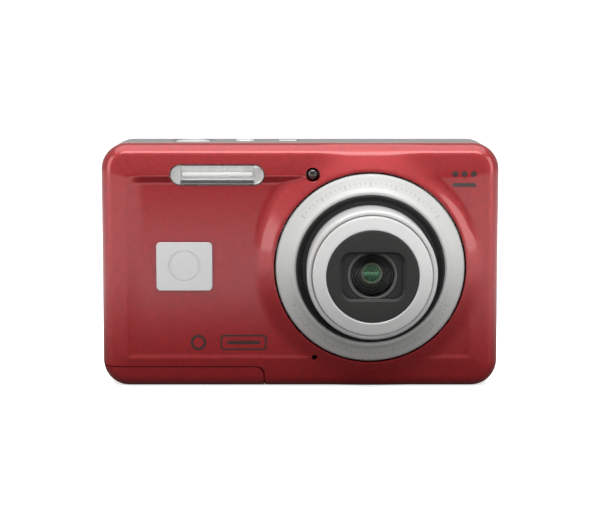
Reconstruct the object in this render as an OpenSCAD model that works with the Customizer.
// Compact digital camera with a two-stage zoom lens. Millimetres, +Z up.
// The camera's front looks along -Y. The origin is on the base, under the middle of the body.
// The lens stands at its power-on length: the barrels run back into the body and out to full zoom.

/* [Body] */
// Width of the body
body_w = 91.5; // [88:0.5:112]
// Height of the body
body_h = 56.5; // [55:0.5:70]
// Depth from the front panel to the rear face
body_d = 19.6; // [19:0.2:24]
// Corner radius of the body outline
corner_r = 6; // [4:0.5:8]
// Wall of the front and rear covers
cover_wall = 1.3; // [1:0.1:1.6]
// Depth of the painted front cover
front_cover_d = 6; // [5:0.2:7]
// Width of the sloping border round the front panel
bevel_w = 6.3; // [4:0.1:8]
// Fall of the sloping border
bevel_drop = 0.8; // [0.4:0.1:1.2]
// Radius of the rolled outer edge
edge_r = 2.6; // [1.5:0.1:3]

/* [Lens mount] */
// Distance of the lens axis from the side of the body
lens_edge = 29.75; // [28.5:0.25:40]
// Outer radius of the bright lens ring
ring_r = 21.55; // [21:0.05:22.4]
// Inner radius of the bright lens ring
ring_in_r = 16.9; // [16.8:0.1:17.4]
// Rise of the ring from its outer to its inner edge
ring_rise = 2.2; // [1.5:0.1:3]
// Outer radius of the flared boss round the ring
boss_r = 24.5; // [23.5:0.1:25.5]
// Rise of the boss over the front panel
boss_rise = 1.1; // [0.6:0.1:1.6]

/* [Lens barrels] */
// Radius of the outer barrel
outer_barrel_r = 14.5; // [14:0.1:14.8]
// Wall of the outer barrel
outer_barrel_wall = 1.15; // [0.9:0.05:1.3]
// Length of the outer barrel
outer_barrel_len = 12.8; // [12:0.1:13.4]
// Reach of the outer barrel in front of the ring's outer edge
barrel_reach = 10.1; // [9.5:0.1:11]
// Radius of the black front plate
plate_r = 10.2; // [9.8:0.1:10.6]
// Width of the front plate's window
window_w = 13.6; // [12:0.1:14.4]
// Height of the front plate's window
window_h = 10; // [8:0.1:10.4]
// Radius of the front glass in its ring
glass_r = 4.8; // [4:0.1:5.2]

/* [Flash and lamp] */
// Width of the flash window
flash_w = 21.7; // [18:0.1:24]
// Height of the flash window
flash_h = 4.9; // [4:0.1:5.4]
// Radius of the self-timer lamp's hole
lamp_r = 1.6; // [1:0.1:2]

/* [Screen] */
// Width of the screen's window
screen_w = 60; // [56:0.5:62]
// Height of the screen's window
screen_h = 46; // [40:0.5:48]

/* [Buttons] */
// Radius of the shutter button
shutter_r = 4.1; // [3.4:0.1:4.6]
// Travel of the shutter button
shutter_travel = 0.8; // [0.4:0.1:1]
// Radius of the power button
power_r = 2.25; // [1.8:0.05:2.6]
// Radius of the small round rear buttons
key_r = 2.3; // [1.8:0.1:2.6]
// Radius of the direction pad
pad_r = 9; // [7.5:0.1:9.4]
// Radius of the button in the middle of the pad
ok_r = 3.6; // [3:0.1:4.2]
// Travel of the small buttons
key_travel = 0.35; // [0.2:0.05:0.4]

/* [Battery and card] */
// Width of the battery
battery_w = 32; // [26:0.5:34]
// Height of the battery
battery_h = 40; // [34:0.5:40.5]
// Thickness of the battery
battery_t = 5.4; // [4:0.1:5.8]
// Length of the door along the base
door_w = 36.6; // [35:0.1:40]
// Height of the door's lip on the front
door_lip_h = 4.8; // [4:0.1:5.6]

/* [Tripod socket] */
// Radius of the tripod socket's threaded hole
socket_r = 3.175; // [3.175:0.001:4.7625]
// Depth of the tripod socket's hole
socket_depth = 5; // [4.5:0.1:6]

/* [Fits] */
// Radial clearance of barrels, pins and shafts that run in a bore
run_gap = 0.08; // [0.05:0.01:0.1]
// Gap round a button, door or flap
play_gap = 0.25; // [0.2:0.05:0.35]
// Gap between fixed pieces that sit in one another
seat_gap = 0.05; // [0.03:0.01:0.08]

/* [Hidden] */
$fn = 48;
EPS = 0.01;

// levels along Y, from the front panel to the rear face
front_y = -body_d / 2;
rear_y = body_d / 2;
seam_y = front_y + front_cover_d;
front_in_y = front_y + cover_wall;
rear_wall = 1.5;
rear_in_y = rear_y - rear_wall;
ring_edge_y = front_y - boss_rise;
ring_top_y = ring_edge_y - ring_rise;
seam_gap = 0.1;

// inside faces of the side walls
side_x = body_w / 2;
side_in_x = side_x - cover_wall;
top_in_z = body_h - cover_wall;

// lens axis
lens_x = side_x - lens_edge;
lens_z = body_h / 2;
ring_groove = 0.4;
ring_seat_y = front_y + 0.2;
deck_hole_r = ring_r - 2;

// lens levels, from the front backwards, with the barrels at their power-on length
outer_front_y = ring_edge_y - barrel_reach;
outer_back_y = outer_front_y + outer_barrel_len;
inner_barrel_r = outer_barrel_r - outer_barrel_wall - run_gap;
inner_barrel_wall = 0.9;
inner_bore_r = inner_barrel_r - inner_barrel_wall;
inner_lead = 1.1;
inner_front_y = outer_front_y - inner_lead;
inner_barrel_len = 11.6;
inner_back_y = inner_front_y + inner_barrel_len;
plate_front_y = inner_front_y - 0.8;
plate_t = 0.85;
blade_t = 0.3;
blade_y = plate_front_y + plate_t + 0.15;
cell_front_y = blade_y + blade_t + 0.3;
cell_len = 5;
glass_front_y = cell_front_y + 0.6;
shutter_unit_y = cell_front_y + cell_len + 0.5;
shutter_unit_t = 2;

// fixed part of the lens
housing_in_r = outer_barrel_r + run_gap;
housing_wall = 1;
housing_r = housing_in_r + housing_wall;
housing_front_y = ring_edge_y - 0.6;
sensor_y = ring_edge_y + 12.7;
housing_floor_y = sensor_y - 0.2;
housing_floor_t = 1;
carrier_t = 1.3;
carrier_y = housing_floor_y - carrier_t - 1.5;
rod_r = 0.5;
rod_offset = 9;
rod_len = 4.9;

// zoom drive: cam ring with gear teeth, and the motor's pinion
gear_module = 0.6;
cam_teeth = 60;
pinion_teeth = 12;
cam_pitch_r = gear_module * cam_teeth / 2;
pinion_pitch_r = gear_module * pinion_teeth / 2;
cam_in_r = housing_r + run_gap;
cam_r = cam_in_r + 1.1;
cam_len = 9;
gear_t = 1.8;
gear_y = housing_floor_y - 1.4;
drive_angle = -35;
motor_r = 3.3;
shaft_r = 0.5;
motor_x = lens_x + (cam_pitch_r + pinion_pitch_r) * cos(drive_angle);
motor_z = lens_z + (cam_pitch_r + pinion_pitch_r) * sin(drive_angle);

// places on the front, from the top edge and the lens axis
flash_x = lens_x - 34.95;
flash_z = body_h - 7.15;
lamp_x = lens_x - 13.1;
lamp_z = body_h - 7;
mic_x = lens_x - 12.65;
mic_z = lens_z - 21.05;
mic_hole_r = 0.6;
badge_w = 12.8;
badge_h = 11.2;
badge_x = lens_x - 42.5;
badge_z = lens_z + 0.15;

// battery, card and boards, from the side and the base
battery_x = -side_in_x + 3.2 + battery_w / 2;
battery_y = front_in_y + 2.6;
battery_z = 2.6;
bay_wall = 0.5;
bay_gap = 0.2;
bay_z = battery_z + 1;
bay_head = 1.6;
card_w = 24;
card_h = 32;
card_t = 2.1;
card_x = battery_x - 1.2;
socket_sheet = 0.25;
card_gap = 0.15;
card_y = battery_y + battery_t + bay_gap + bay_wall + 0.1 + socket_sheet + card_gap;
card_z = 3;
board_t = 0.8;
board_y = card_y + card_t + card_gap + socket_sheet + 0.2;
frame_y = board_y + board_t + 0.3;
frame_t = 0.6;
frame_z = socket_depth + 1.4;
board_left_x = -side_in_x + 3;

// rear face: screen on the lens side, keys on the grip side
screen_x = side_x - 2.3 - screen_w / 2;
screen_z = body_h / 2;
screen_t = 0.7;
screen_step = 2;
keys_left_x = -side_x + 3;
keys_right_x = screen_x - screen_w / 2 - 1;
keys_x = (keys_left_x + keys_right_x) / 2;
pad_z = lens_z - 3.2;
key_dx = 7.6;
upper_key_z = pad_z + 13.6;
lower_key_z = pad_z - 13.6;
rocker_w = 13;
rocker_h = 4.6;
rocker_x = keys_x - 4.6;
rocker_z = body_h - 8.2;
rocker_pivot_y = rear_y - 1.8;
record_x = keys_x + 8.2;
flange = 0.5;
flange_t = 0.5;
key_proud = 0.4;
key_flange_y = rear_in_y - 0.2;
key_board_y = key_flange_y - flange_t - key_travel - 0.85;

// top face, over the grip
shutter_x = lens_x - 41.3;
power_x = lens_x - 29;
mode_x = lens_x - 18.9;
top_y = 2.5;
scoop_r = shutter_r + 1.35;
scoop_depth = 0.75;
top_boss_t = 1;
shutter_flange_z = top_in_z - top_boss_t - 0.25;
power_proud = 0.3;
mode_w = 4.3;
mode_d = 2.2;

// battery door and its hinge along the rear edge of the base
door_t = 1.3;
hinge_r = 0.65;
knuckle_r = door_t / 2 + 0.15;
hinge_y = rear_y - 2.4;
hinge_z = knuckle_r;
hinge_x0 = -side_x + corner_r;
door_x0 = -side_x + 0.75;
door_x1 = door_x0 + door_w;
door_corner_r = 2;
latch_w = 5.6;
latch_d = 3.6;
latch_travel = 2;
latch_x = door_x0 + door_w * 0.6;
latch_y = -4;
latch_z = 0.1;
latch_t = 0.7;

// tripod socket, strap bar, port and its flap
socket_x = lens_x;
socket_y = 1;
socket_wall_r = socket_r + 1.4;
strap_y = rear_y - 5.6;
strap_z = 12;
strap_w = 4.6;
strap_h = 8.4;
strap_in = 2.6;
strap_bar_r = 0.65;
port_y = frame_y - 2.3;
port_z = 16;
port_w = 2.9;
port_h = 7.6;
port_len = 5.4;
flap_y0 = port_y - 3.6;
flap_hinge_y = port_y + 3.8;
flap_h = 10.6;
flap_t = 1.1;
flap_knuckle_r = flap_t / 2 + 0.05;
flap_hinge_x = side_x - flap_t / 2 - 0.05;

// screws through the covers
screw_r = 0.8;
screw_head_r = 1.5;
screw_head_t = 0.6;
screw_len = 4;
screw_y = 0.6;
base_screws = [lens_x - 11, side_x - 10];
side_screw_zs = [body_h - 9, 30];
tab_t = 1.6;
tab_w = 5;

// a rod along Y
module rod(x, z, y0, y1, r) {
    translate([x, y0, z]) rotate([-90, 0, 0]) cylinder(h = y1 - y0, r = r);
}

// a 2D shape in X and Z, thickened from y0 to y1
module slab(y0, y1) {
    translate([0, y1, 0]) rotate([90, 0, 0]) linear_extrude(y1 - y0) children();
}

// a body of revolution on the lens axis, from points of radius and Y
module turned(points) {
    translate([lens_x, 0, lens_z]) rotate([-90, 0, 0]) rotate_extrude() polygon(points);
}

// a rectangle with round corners, centred
module rounded(w, h, r) {
    square([w - 2 * r, h], center = true);
    square([w, h - 2 * r], center = true);
    for (sx = [-1, 1], sz = [-1, 1])
        translate([sx * (w / 2 - r), sz * (h / 2 - r)]) circle(r);
}

// a box from its lowest and highest corners
module block(low, high) {
    translate(low) cube(high - low);
}

// the body's outline, drawn in by an inset
module outline(inset) {
    translate([0, body_h / 2])
        rounded(body_w - 2 * inset, body_h - 2 * inset, max(corner_r - inset * 0.6, 1));
}

// the front half: straight sides, rolled edge and sloping border, drawn in by a wall
module front_form(wall) {
    border_y = front_y + bevel_drop;
    hull() {
        slab(border_y + edge_r + wall * 0.4, seam_y - seam_gap, $fn = 32) outline(wall);
        slab(border_y + edge_r * 0.3 + wall, seam_y - 1, $fn = 32) outline(edge_r * 0.3 + wall);
        slab(border_y + wall, seam_y - 1, $fn = 32) outline(edge_r + wall);
        slab(front_y + wall, seam_y - 1, $fn = 32) outline(bevel_w + wall);
    }
}

// the rear half with its rolled edge, drawn in by the side and rear walls
module rear_form(wall, back) {
    hull() {
        slab(seam_y, rear_y - edge_r - back * 0.4, $fn = 32) outline(wall);
        slab(seam_y, rear_y - edge_r * 0.3 - back, $fn = 32) outline(edge_r * 0.3 + wall);
        slab(seam_y, rear_y - back, $fn = 32) outline(edge_r + wall);
    }
}

// the base corner that the battery door fills, grown by a gap
module door_space(gap) {
    slab(front_y - 1, seam_y + 1) difference() {
        translate([door_x0 - 2, -1]) square([door_w + 2 + gap, door_lip_h + 1 + gap]);
        translate([door_x1 + gap, door_lip_h + gap]) rotate(45)
            square([door_corner_r, door_corner_r], center = true);
    }
    block([door_x0 - gap, seam_y, -1], [door_x1 + gap, hinge_y, door_t + gap]);
}

// where a screw enters a side wall: sx is -1 or 1
module at_side(sx, z) {
    translate([sx * side_x, screw_y, z]) rotate([0, -sx * 90, 0]) children();
}

// screw places on the sides and the base, pointing into the body
module at_screws() {
    at_side(-1, side_screw_zs[0]) children();
    for (z = side_screw_zs) at_side(1, z) children();
    for (x = base_screws) translate([x, screw_y, 0]) children();
}

module front_cover() {
    color("firebrick") difference() {
        union() {
            front_form(0);
            turned([[0, front_y + 1], [boss_r, front_y + 1], [boss_r, front_y],
                [ring_r + ring_groove + 0.5, ring_edge_y], [0, ring_edge_y]]);
        }
        difference() {
            front_form(cover_wall);
            turned([[0, front_in_y], [0, front_y - 1], [boss_r - 1, front_y - 1],
                [boss_r - 1, front_in_y]]);
        }
        block([-side_in_x, seam_y - 1 - EPS, cover_wall], [side_in_x, seam_y, top_in_z]);
        turned([[0, ring_seat_y], [ring_r + ring_groove, ring_seat_y],
            [ring_r + ring_groove, ring_edge_y - 1], [0, ring_edge_y - 1]]);
        rod(lens_x, lens_z, front_y - 1, seam_y, deck_hole_r);
        translate([flash_x, 0, flash_z]) slab(front_y - 1, seam_y)
            rounded(flash_w + 2 * seat_gap, flash_h + 2 * seat_gap, flash_h / 2 - seat_gap);
        rod(lamp_x, lamp_z, front_y - 2, seam_y, lamp_r);
        rod(mic_x, mic_z, front_y - 2, seam_y, mic_hole_r);
        door_space(play_gap);
    }
}

module rear_cover() {
    color("dimgray") difference() {
        union() {
            difference() {
                rear_form(0, 0);
                rear_form(cover_wall, rear_wall);
                block([-side_in_x, seam_y - 1, cover_wall], [side_in_x, seam_y + 1, top_in_z]);
            }
            // thick ring under the shutter button, strap pocket, port pocket, hinge rail
            translate([shutter_x, top_y, top_in_z - top_boss_t])
                cylinder(h = top_boss_t + 0.3, r = scoop_r + 0.6);
            block([-side_in_x - 0.3, strap_y - strap_w / 2 - 0.8, strap_z - strap_h / 2 - 0.8],
                [-side_x + strap_in + 0.8, strap_y + strap_w / 2 + 0.8, strap_z + strap_h / 2 + 0.8]);
            block([side_in_x - 0.9, flap_y0 - 0.8, port_z - flap_h / 2 - 0.8],
                [side_in_x + 0.3, flap_hinge_y + 1.7, port_z + flap_h / 2 + 0.8]);
        }
        // screen window, its shelf and the panel behind it
        translate([screen_x, 0, screen_z]) slab(rear_y - screen_t - 0.1, rear_y + 1)
            rounded(screen_w + 2 * seat_gap, screen_h + 2 * seat_gap, 2);
        translate([screen_x, 0, screen_z]) slab(rear_in_y - 1, rear_y)
            rounded(screen_w - 2 * screen_step, screen_h - 2 * screen_step, 1);
        // keys
        for (sx = [-1, 1])
            rod(keys_x + sx * key_dx, lower_key_z, rear_in_y - 1, rear_y + 1, key_r + play_gap);
        rod(keys_x - key_dx, upper_key_z, rear_in_y - 1, rear_y + 1, key_r + play_gap);
        rod(record_x, rocker_z, rear_in_y - 1, rear_y + 1, key_r + play_gap);
        rod(keys_x, pad_z, rear_in_y - 1, rear_y + 1, pad_r + play_gap);
        rod(keys_x + key_dx, upper_key_z, rear_in_y - 1, rear_y + 1, 0.8 + seat_gap);
        translate([rocker_x, 0, rocker_z]) slab(rear_in_y - 1, rear_y + 1)
            rounded(rocker_w + 3 * play_gap, rocker_h + 2 * play_gap, rocker_h / 2);
        // shutter button's scoop and hole, power and mode holes
        translate([shutter_x, top_y, body_h - scoop_depth])
            cylinder(h = scoop_depth + EPS, r1 = shutter_r + play_gap + 0.2, r2 = scoop_r);
        translate([shutter_x, top_y, top_in_z - 3]) cylinder(h = 9, r = shutter_r + play_gap);
        translate([power_x, top_y, top_in_z - 3]) cylinder(h = 9, r = power_r + play_gap);
        block([mode_x - mode_w / 2 - play_gap, top_y - mode_d / 2 - play_gap, top_in_z - 3],
            [mode_x + mode_w / 2 + play_gap, top_y + mode_d / 2 + play_gap, body_h + 1]);
        // sound holes
        for (i = [-1:1], j = [-1:1])
            translate([side_x - 15.5 + i * 1.6, top_y + j * 1.6, top_in_z - 1])
                cylinder(h = 4, r = 0.4);
        // strap pocket, port pocket and the port's own hole
        block([-side_x - 1, strap_y - strap_w / 2, strap_z - strap_h / 2],
            [-side_x + strap_in, strap_y + strap_w / 2, strap_z + strap_h / 2]);
        block([side_x - flap_t - 0.2, flap_y0 - play_gap, port_z - flap_h / 2 - play_gap],
            [side_x + 1, flap_hinge_y + flap_knuckle_r + play_gap, port_z + flap_h / 2 + play_gap]);
        block([side_x - 5, port_y - port_w / 2 - seat_gap, port_z - port_h / 2 - seat_gap],
            [side_x, port_y + port_w / 2 + seat_gap, port_z + port_h / 2 + seat_gap]);
        // base: door, hinge, tripod socket
        door_space(play_gap);
        translate([hinge_x0 - play_gap, hinge_y, hinge_z]) rotate([0, 90, 0])
            cylinder(h = door_x1 - hinge_x0 + 2 * play_gap, r = knuckle_r + play_gap);
        block([hinge_x0 - play_gap, hinge_y - 1, -1],
            [door_x1 + play_gap, hinge_y + knuckle_r + play_gap, hinge_z]);
        translate([hinge_x0 - 1.3, hinge_y, hinge_z]) rotate([0, 90, 0])
            cylinder(h = door_x1 - hinge_x0 + 2.6, r = hinge_r + seat_gap);
        translate([socket_x, socket_y, -1]) cylinder(h = 6, r = socket_wall_r + seat_gap);
        // screws
        at_screws() {
            translate([0, 0, -1]) cylinder(h = screw_head_t + 1, r = screw_head_r + seat_gap);
            cylinder(h = screw_len, r = screw_r + seat_gap);
        }
    }
}

module inner_frame() {
    color("silver") difference() {
        union() {
            block([board_left_x, frame_y, frame_z],
                [side_in_x - 1.2, frame_y + frame_t, top_in_z - 3]);
            // tabs that the screws bite
            block([side_in_x - 0.3 - tab_t, screw_y - tab_w / 2, side_screw_zs[1] - 3],
                [side_in_x - 0.3, frame_y + frame_t, top_in_z - 5]);
            block([-side_in_x + 0.3, screw_y - tab_w / 2, side_screw_zs[0] - 3],
                [-side_in_x + 0.3 + tab_t, frame_y + frame_t, side_screw_zs[0] + 3]);
            block([-side_in_x + 0.3, frame_y, side_screw_zs[0] - 3],
                [board_left_x + EPS, frame_y + frame_t, side_screw_zs[0] + 3]);
            for (x = base_screws)
                block([x - 3, screw_y - tab_w / 2, cover_wall + 0.2],
                    [x + 3, frame_y + frame_t, cover_wall + 0.2 + tab_t]);
            for (x = base_screws)
                block([x - 3, frame_y, cover_wall + 0.2], [x + 3, frame_y + frame_t, frame_z + EPS]);
        }
        at_screws() cylinder(h = screw_len + 0.2, r = screw_r + seat_gap);
        for (x = [lens_x - 12, lens_x + 12])
            rod(x, lens_z - 8, frame_y - 1, frame_y + frame_t + 1, 3);
        rod(keys_x, lens_z, frame_y - 1, frame_y + frame_t + 1, 4);
    }
}

module lens_ring() {
    color("lightgray") turned([[deck_hole_r + 0.6, ring_seat_y - seat_gap],
        [ring_r, ring_seat_y - seat_gap], [ring_r, ring_edge_y + 0.1],
        [ring_r - 0.35, ring_edge_y - 0.3], [ring_in_r + 0.3, ring_top_y],
        [ring_in_r, ring_top_y + 0.2], [ring_in_r, ring_edge_y + 0.4],
        [deck_hole_r + 0.6, ring_edge_y + 0.4]]);
}

module lens_collar() {
    color("dimgray") turned([[ring_in_r - seat_gap, ring_top_y + 0.5],
        [ring_in_r - 0.3, ring_top_y + 0.3], [housing_r + 0.1, ring_edge_y - 0.7],
        [housing_r + 0.1, ring_edge_y + 0.6], [deck_hole_r - seat_gap, ring_edge_y + 0.6],
        [deck_hole_r - seat_gap, ring_edge_y + 0.45], [ring_in_r - seat_gap, ring_edge_y + 0.45]]);
}

module lens_housing() {
    color("dimgray") difference() {
        union() {
            turned([[housing_in_r, housing_front_y], [housing_r, housing_front_y],
                [housing_r, sensor_y + 0.8], [7, sensor_y + 0.8], [7, housing_floor_y],
                [housing_in_r, housing_floor_y]]);
            rod(lens_x, lens_z, housing_floor_y, housing_floor_y + housing_floor_t, 9);
        }
        block([lens_x - 4.3, housing_floor_y - 1, lens_z - 3.6],
            [lens_x + 4.3, sensor_y + 2, lens_z + 3.6]);
        for (s = [-1, 1])
            rod(lens_x, lens_z + s * rod_offset, housing_floor_y - 1, sensor_y + 2,
                rod_r + seat_gap);
    }
}

module guide_rods() {
    color("silver") for (s = [-1, 1])
        rod(lens_x, lens_z + s * rod_offset, housing_floor_y + 0.8 - rod_len,
            housing_floor_y + 0.8, rod_r);
}

module sensor_board() {
    color("seagreen") block([lens_x - 11, sensor_y + 0.9, lens_z - 9],
        [lens_x + 11, sensor_y + 1.7, lens_z + 9]);
}

module image_sensor() {
    color("darkslateblue") block([lens_x - 4, sensor_y, lens_z - 3.3],
        [lens_x + 4, sensor_y + 0.85, lens_z + 3.3]);
}

module zoom_motor() {
    color("silver") {
        rod(motor_x, motor_z, gear_y - 8, gear_y - 0.5, motor_r);
        rod(motor_x, motor_z, gear_y - 0.6, gear_y + gear_t + 0.3, shaft_r);
    }
}

module flash_window() {
    color("whitesmoke", 0.5) translate([flash_x, 0, flash_z])
        slab(front_y - 0.1, front_in_y - 0.3)
        rounded(flash_w - 2 * seat_gap, flash_h - 2 * seat_gap, flash_h / 2 - seat_gap - EPS);
}

module flash_reflector() {
    w = flash_w - 5;
    color("gainsboro") translate([flash_x, 0, flash_z]) difference() {
        block([-w / 2, front_in_y - 0.2, -flash_h / 2 + 0.2], [w / 2, seam_y - 0.4, flash_h / 2 - 0.2]);
        translate([-w / 2 + 0.6, front_in_y - 0.3, 0]) rotate([0, 90, 0])
            cylinder(h = w - 1.2, r = flash_h / 2 - 0.6);
        translate([-w / 2 - 1, front_in_y + 0.9, 0]) rotate([0, 90, 0])
            cylinder(h = w + 2, r = 0.8 + seat_gap);
    }
}

module flash_tube() {
    color("white", 0.6) translate([flash_x - flash_w / 2 + 1.6, front_in_y + 0.9, flash_z])
        rotate([0, 90, 0]) cylinder(h = flash_w - 3.2, r = 0.8);
}

module flash_capacitor() {
    color("black") translate([flash_x - 11, frame_y - 4.3, battery_z + battery_h + bay_head + bay_wall + 3.2])
        rotate([0, 90, 0]) cylinder(h = 22, r = 3);
}

module af_lamp_lens() {
    color("darkred") translate([lamp_x, 0, lamp_z]) rotate([-90, 0, 0]) rotate_extrude()
        polygon([[0, front_y + 0.3], [lamp_r * 0.5, front_y + 0.45], [lamp_r - 0.15, front_y + 0.9],
            [lamp_r - 0.15, front_in_y + bevel_drop], [lamp_r + 0.6, front_in_y + bevel_drop],
            [lamp_r + 0.6, front_in_y + bevel_drop + 1], [0, front_in_y + bevel_drop + 1]]);
}

module microphone() {
    color("silver") rod(mic_x, mic_z, front_in_y + bevel_drop, front_in_y + bevel_drop + 1, 1.6);
}

module front_badge() {
    color("silver") translate([badge_x, 0, badge_z])
        slab(front_y - 0.2, front_y - EPS) rounded(badge_w, badge_h, 1.2);
}

module battery_bay() {
    x0 = battery_x - battery_w / 2 - bay_gap;
    x1 = battery_x + battery_w / 2 + bay_gap;
    y0 = battery_y - bay_gap;
    y1 = battery_y + battery_t + bay_gap;
    z1 = battery_z + battery_h + bay_head;
    color("dimgray") difference() {
        block([x0 - bay_wall, y0 - bay_wall, bay_z], [x1 + bay_wall, y1 + bay_wall, z1 + bay_wall]);
        block([x0, y0, bay_z - 1], [x1, y1, z1]);
    }
}

module battery() {
    color("slategray") translate([battery_x, 0, battery_z + battery_h / 2])
        slab(battery_y, battery_y + battery_t) rounded(battery_w, battery_h, 1);
}

module battery_contacts() {
    color("gold") for (i = [-1:1])
        block([battery_x - 8 + i * 3 - 0.6, battery_y + 1.4, battery_z + battery_h + 0.05],
            [battery_x - 8 + i * 3 + 0.6, battery_y + battery_t - 1.4, battery_z + battery_h + bay_head - 0.05]);
}

module card_socket() {
    color("silver") difference() {
        block([card_x - card_w / 2 - card_gap - socket_sheet, card_y - card_gap - socket_sheet,
            card_z + 10], [card_x + card_w / 2 + card_gap + socket_sheet,
            card_y + card_t + card_gap + socket_sheet, card_z + card_h + 1.4]);
        block([card_x - card_w / 2 - card_gap, card_y - card_gap, card_z],
            [card_x + card_w / 2 + card_gap, card_y + card_t + card_gap, card_z + card_h + 0.4]);
    }
}

module memory_card() {
    color("midnightblue") translate([card_x, card_y + card_t, card_z]) rotate([90, 0, 0])
        linear_extrude(card_t) polygon([[-card_w / 2, 0], [card_w / 2, 0],
            [card_w / 2, card_h - 3], [card_w / 2 - 3, card_h], [-card_w / 2, card_h]]);
}

module main_board() {
    color("seagreen") {
        block([board_left_x, board_y, 6], [lens_x - cam_pitch_r - 2.6, board_y + board_t,
            battery_z + battery_h]);
        block([board_left_x + 8, board_y - 0.4, battery_z + battery_h - 4.4],
            [board_left_x + 20, board_y + EPS, battery_z + battery_h - 1]);
    }
}

module button_board() {
    color("peru") block([board_left_x + 0.6, key_board_y, lower_key_z - 4],
        [keys_right_x - 0.6, key_board_y + 0.6, rocker_z + 3]);
}

module screen_panel() {
    inset = 2 * screen_step + 0.4;
    color("darkslategray") translate([screen_x, 0, screen_z])
        slab(frame_y + frame_t + 0.3, rear_y - screen_t - 0.3)
        rounded(screen_w - inset, screen_h - inset, 1);
}

module screen_window() {
    color("black") translate([screen_x, 0, screen_z]) slab(rear_y - screen_t - 0.05, rear_y - 0.1)
        rounded(screen_w, screen_h, 2);
}

module speaker() {
    color("black") translate([side_x - 15.5, top_y, top_in_z - 2.2]) cylinder(h = 1.7, r = 3.4);
}

module usb_port() {
    color("silver") difference() {
        block([side_x - flap_t - port_len, port_y - port_w / 2, port_z - port_h / 2],
            [side_x - flap_t - 0.3, port_y + port_w / 2, port_z + port_h / 2]);
        block([side_x - flap_t - port_len + 1, port_y - port_w / 2 + 0.4, port_z - port_h / 2 + 0.4],
            [side_x, port_y + port_w / 2 - 0.4, port_z + port_h / 2 - 0.4]);
    }
}

module strap_bar() {
    color("silver") translate([-side_x + strap_bar_r + 0.1, strap_y, strap_z - strap_h / 2])
        cylinder(h = strap_h, r = strap_bar_r);
}

module tripod_socket() {
    color("silver") difference() {
        translate([socket_x, socket_y, 0.1]) union() {
            cylinder(h = socket_depth + 0.9, r = socket_wall_r);
            translate([0, 0, cover_wall + 0.1])
                cylinder(h = socket_depth - cover_wall + 0.8, r = socket_wall_r);
        }
        translate([socket_x, socket_y, -1]) cylinder(h = socket_depth + 1.1, r = socket_r);
    }
}

module status_lamp() {
    color("lime") rod(keys_x + key_dx, upper_key_z, rear_in_y - 0.4, rear_y + 0.05, 0.8);
}

module cover_screws() {
    color("silver") at_screws() difference() {
        union() {
            translate([0, 0, 0.1]) cylinder(h = screw_head_t - 0.15, r = screw_head_r);
            translate([0, 0, 0.2]) cylinder(h = screw_len - 0.2, r = screw_r);
        }
        for (a = [0, 90]) rotate(a) cube([1.6, 0.35, 0.8], center = true);
    }
}

module door_hinge_pin() {
    color("silver") translate([hinge_x0 - 1.2, hinge_y, hinge_z]) rotate([0, 90, 0])
        cylinder(h = door_x1 - hinge_x0 + 2.4, r = hinge_r - run_gap);
}

// outline of a spur gear: straight-sided teeth with room between them
module gear_2d(teeth, phase) {
    pitch_r = gear_module * teeth / 2;
    root_r = pitch_r - 1.25 * gear_module;
    tip_r = pitch_r + 0.8 * gear_module;
    root_half = 0.36 * gear_module * PI / 2;
    tip_half = 0.2 * gear_module * PI / 2;
    circle(root_r);
    for (i = [0:teeth - 1]) rotate(phase + i * 360 / teeth)
        polygon([[root_r - 0.2, -root_half], [root_r, -root_half], [tip_r, -tip_half],
            [tip_r, tip_half], [root_r, root_half], [root_r - 0.2, root_half]]);
}

module cam_ring() {
    color("dimgray") translate([lens_x, 0, lens_z]) difference() {
        union() {
            rod(0, 0, gear_y + gear_t - cam_len, gear_y + gear_t, cam_r);
            slab(gear_y, gear_y + gear_t) gear_2d(cam_teeth, drive_angle + 180 / cam_teeth);
        }
        rod(0, 0, gear_y + gear_t - cam_len - 1, gear_y + gear_t + 1, cam_in_r);
    }
}

module motor_pinion() {
    color("white") translate([motor_x, 0, motor_z]) difference() {
        slab(gear_y, gear_y + gear_t) gear_2d(pinion_teeth, drive_angle + 180);
        rod(0, 0, gear_y - 1, gear_y + gear_t + 1, shaft_r + run_gap);
    }
}

module outer_barrel() {
    in_r = outer_barrel_r - outer_barrel_wall;
    color("silver") turned([[in_r, outer_front_y + 0.2], [in_r + 0.3, outer_front_y],
        [outer_barrel_r - 0.3, outer_front_y], [outer_barrel_r, outer_front_y + 0.3],
        [outer_barrel_r, outer_back_y], [in_r, outer_back_y]]);
}

module inner_barrel() {
    color("silver") turned([[plate_r + seat_gap, plate_front_y + plate_t],
        [plate_r + seat_gap, plate_front_y], [inner_barrel_r - 0.3, inner_front_y - 0.1],
        [inner_barrel_r, inner_front_y + 0.2], [inner_barrel_r, inner_back_y],
        [inner_bore_r, inner_back_y], [inner_bore_r, plate_front_y + plate_t]]);
}

module front_plate() {
    color("black") translate([lens_x, 0, lens_z]) slab(plate_front_y + 0.05, plate_front_y + plate_t)
        difference() {
            circle(plate_r);
            rounded(window_w, window_h, 2.2);
        }
}

module lens_cell() {
    color("black") turned([[glass_r + 0.9, cell_front_y], [inner_bore_r - seat_gap, cell_front_y],
        [inner_bore_r - seat_gap, cell_front_y + cell_len], [glass_r - 0.3, cell_front_y + cell_len],
        [glass_r - 0.3, cell_front_y + 4.2], [glass_r + 0.35, cell_front_y + 4.2],
        [glass_r + 0.35, cell_front_y + 0.9], [glass_r + 0.9, cell_front_y + 0.9]]);
}

module front_lens() {
    color("darkgreen", 0.6) turned([[0, glass_front_y], [glass_r * 0.5, glass_front_y + 0.13],
        [glass_r, glass_front_y + 0.5], [glass_r + 0.3, glass_front_y + 0.5],
        [glass_r + 0.3, cell_front_y + 4.1], [glass_r * 0.5, cell_front_y + 3.8],
        [0, cell_front_y + 3.6]]);
}

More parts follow.
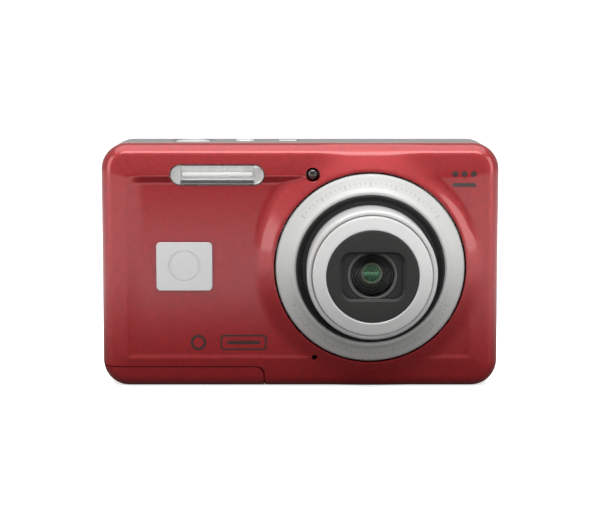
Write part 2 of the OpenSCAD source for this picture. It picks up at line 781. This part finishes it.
module lens_retaining_ring() {
    color("dimgray") turned([[glass_r, cell_front_y + 0.1], [glass_r + 0.85, cell_front_y + 0.1],
        [glass_r + 0.85, cell_front_y + 0.85], [glass_r, cell_front_y + 0.85]]);
}

module shutter_unit() {
    color("black") turned([[3, shutter_unit_y + 0.6], [4, shutter_unit_y],
        [inner_bore_r - seat_gap, shutter_unit_y],
        [inner_bore_r - seat_gap, shutter_unit_y + shutter_unit_t],
        [3, shutter_unit_y + shutter_unit_t]]);
}

// one half of the lens barrier, stowed above the window
module barrier_blade() {
    half = window_h / 2;
    slab(blade_y, blade_y + blade_t) intersection() {
        translate([-window_w / 2 - 0.5, half + 0.25]) square([window_w + 1, half + 0.35]);
        circle(inner_bore_r - 0.2);
    }
}

module upper_blade() {
    color("black") translate([lens_x, 0, lens_z]) barrier_blade();
}

module lower_blade() {
    color("black") translate([lens_x, 0, lens_z]) mirror([0, 0, 1]) barrier_blade();
}

module focus_carrier() {
    color("black") translate([lens_x, 0, lens_z]) difference() {
        slab(carrier_y, carrier_y + carrier_t) {
            circle(6.6);
            square([3, 2 * rod_offset + 2.6], center = true);
        }
        rod(0, 0, carrier_y - 1, carrier_y + carrier_t + 1, 5.2);
        for (s = [-1, 1])
            rod(0, s * rod_offset, carrier_y - 1, carrier_y + carrier_t + 1, rod_r + run_gap);
    }
}

module focus_lens() {
    color("lightblue", 0.6) rod(lens_x, lens_z, carrier_y + 0.1, carrier_y + carrier_t - 0.1,
        5.2 - seat_gap);
}

module shutter_button() {
    color("silver") translate([shutter_x, top_y, 0]) {
        translate([0, 0, shutter_flange_z]) cylinder(h = body_h - 0.4 - shutter_flange_z, r = shutter_r);
        translate([0, 0, body_h - 0.4]) cylinder(h = 0.3, r1 = shutter_r, r2 = shutter_r - 0.5);
        translate([0, 0, shutter_flange_z - 0.6]) cylinder(h = 0.6 + EPS, r = shutter_r + 0.7);
    }
}

module power_button() {
    color("silver") translate([power_x, top_y, 0]) {
        translate([0, 0, top_in_z - 0.2]) cylinder(h = cover_wall + 0.2, r = power_r);
        translate([0, 0, body_h - EPS]) cylinder(h = power_proud, r1 = power_r, r2 = power_r - 0.6);
        translate([0, 0, top_in_z - 0.8]) cylinder(h = 0.6 + EPS, r = power_r + 0.7);
    }
}

module mode_button() {
    color("silver") translate([mode_x, top_y, 0]) {
        block([-mode_w / 2, -mode_d / 2, top_in_z - 0.2], [mode_w / 2, mode_d / 2, body_h + 0.05]);
        block([-mode_w / 2 - 0.6, -mode_d / 2 - 0.6, top_in_z - 0.8],
            [mode_w / 2 + 0.6, mode_d / 2 + 0.6, top_in_z - 0.2 + EPS]);
    }
}

module zoom_rocker() {
    color("silver") translate([rocker_x, 0, rocker_z]) {
        slab(rear_in_y + 0.6, rear_y + 0.7) rounded(rocker_w, rocker_h, rocker_h / 2 - EPS);
        translate([0, rocker_pivot_y, -1.8]) cylinder(h = 3.6, r = 0.6);
        block([-0.6, rocker_pivot_y, -1.8], [0.6, rear_in_y + 0.7, 1.8]);
    }
}

// a round key: cap through the rear wall, flange behind it
module key(x, z) {
    rod(x, z, key_flange_y - flange_t, rear_y + key_proud, key_r);
    rod(x, z, key_flange_y - flange_t, key_flange_y, key_r + play_gap + flange);
}

module record_button() {
    color("red") key(record_x, rocker_z);
}

module menu_button() {
    color("silver") key(keys_x - key_dx, upper_key_z);
}

module play_button() {
    color("silver") key(keys_x - key_dx, lower_key_z);
}

module delete_button() {
    color("silver") key(keys_x + key_dx, lower_key_z);
}

module direction_pad() {
    color("silver") difference() {
        union() {
            rod(keys_x, pad_z, key_flange_y - flange_t, rear_y + key_proud, pad_r);
            rod(keys_x, pad_z, key_flange_y - flange_t, key_flange_y, pad_r + play_gap + flange);
        }
        rod(keys_x, pad_z, rear_in_y - 3, rear_y + 1, ok_r + play_gap);
        rod(keys_x, pad_z, rear_in_y - 3, rear_y - 0.6, ok_r + play_gap + flange + 0.2);
    }
}

module ok_button() {
    color("silver") {
        rod(keys_x, pad_z, key_flange_y - flange_t, rear_y + key_proud, ok_r);
        rod(keys_x, pad_z, key_flange_y - flange_t, rear_y - 1.2, ok_r + play_gap + flange - 0.2);
    }
}

module battery_door() {
    color("firebrick") difference() {
        union() {
            intersection() {
                difference() {
                    front_form(0);
                    front_form(cover_wall);
                }
                slab(front_y - 1, seam_y + 1) difference() {
                    translate([-side_x, -1]) square([door_x1 + side_x, door_lip_h + 1]);
                    translate([door_x1, door_lip_h]) rotate(45)
                        square([door_corner_r, door_corner_r], center = true);
                }
            }
            intersection() {
                block([door_x0, seam_y - 1.2, 0], [door_x1, hinge_y, door_t]);
                slab(seam_y - 2, rear_y) outline(0);
            }
            translate([hinge_x0, hinge_y, hinge_z]) rotate([0, 90, 0])
                cylinder(h = door_x1 - hinge_x0, r = knuckle_r);
        }
        translate([door_x0 - 1, hinge_y, hinge_z]) rotate([0, 90, 0])
            cylinder(h = door_w + 2, r = hinge_r);
        block([door_x0 - 1, hinge_y - knuckle_r - 0.1, -1],
            [hinge_x0, hinge_y + 1, door_t + 1]);
        block([latch_x - latch_w / 2 - play_gap - latch_travel, latch_y - latch_d / 2 - play_gap, -1],
            [latch_x + latch_w / 2 + play_gap, latch_y + latch_d / 2 + play_gap, latch_z + latch_t + 0.1]);
    }
}

module door_latch() {
    color("black") block([latch_x - latch_w / 2, latch_y - latch_d / 2, latch_z],
        [latch_x + latch_w / 2, latch_y + latch_d / 2, latch_z + latch_t]);
}

module usb_cover() {
    color("dimgray") translate([0, 0, port_z - flap_h / 2]) {
        block([side_x - flap_t, flap_y0, 0], [side_x - 0.05, flap_hinge_y, flap_h]);
        translate([flap_hinge_x, flap_hinge_y, 0]) cylinder(h = flap_h, r = flap_t / 2 - 0.02);
    }
}

front_cover();
rear_cover();
inner_frame();
lens_ring();
lens_collar();
lens_housing();
guide_rods();
sensor_board();
image_sensor();
zoom_motor();
flash_window();
flash_reflector();
flash_tube();
flash_capacitor();
af_lamp_lens();
microphone();
front_badge();
battery_bay();
battery();
battery_contacts();
card_socket();
memory_card();
main_board();
button_board();
screen_panel();
screen_window();
speaker();
usb_port();
strap_bar();
tripod_socket();
status_lamp();
cover_screws();
door_hinge_pin();
cam_ring();
motor_pinion();
outer_barrel();
inner_barrel();
front_plate();
lens_cell();
front_lens();
lens_retaining_ring();
shutter_unit();
upper_blade();
lower_blade();
focus_carrier();
focus_lens();
shutter_button();
power_button();
mode_button();
zoom_rocker();
record_button();
menu_button();
play_button();
delete_button();
direction_pad();
ok_button();
battery_door();
door_latch();
usb_cover();
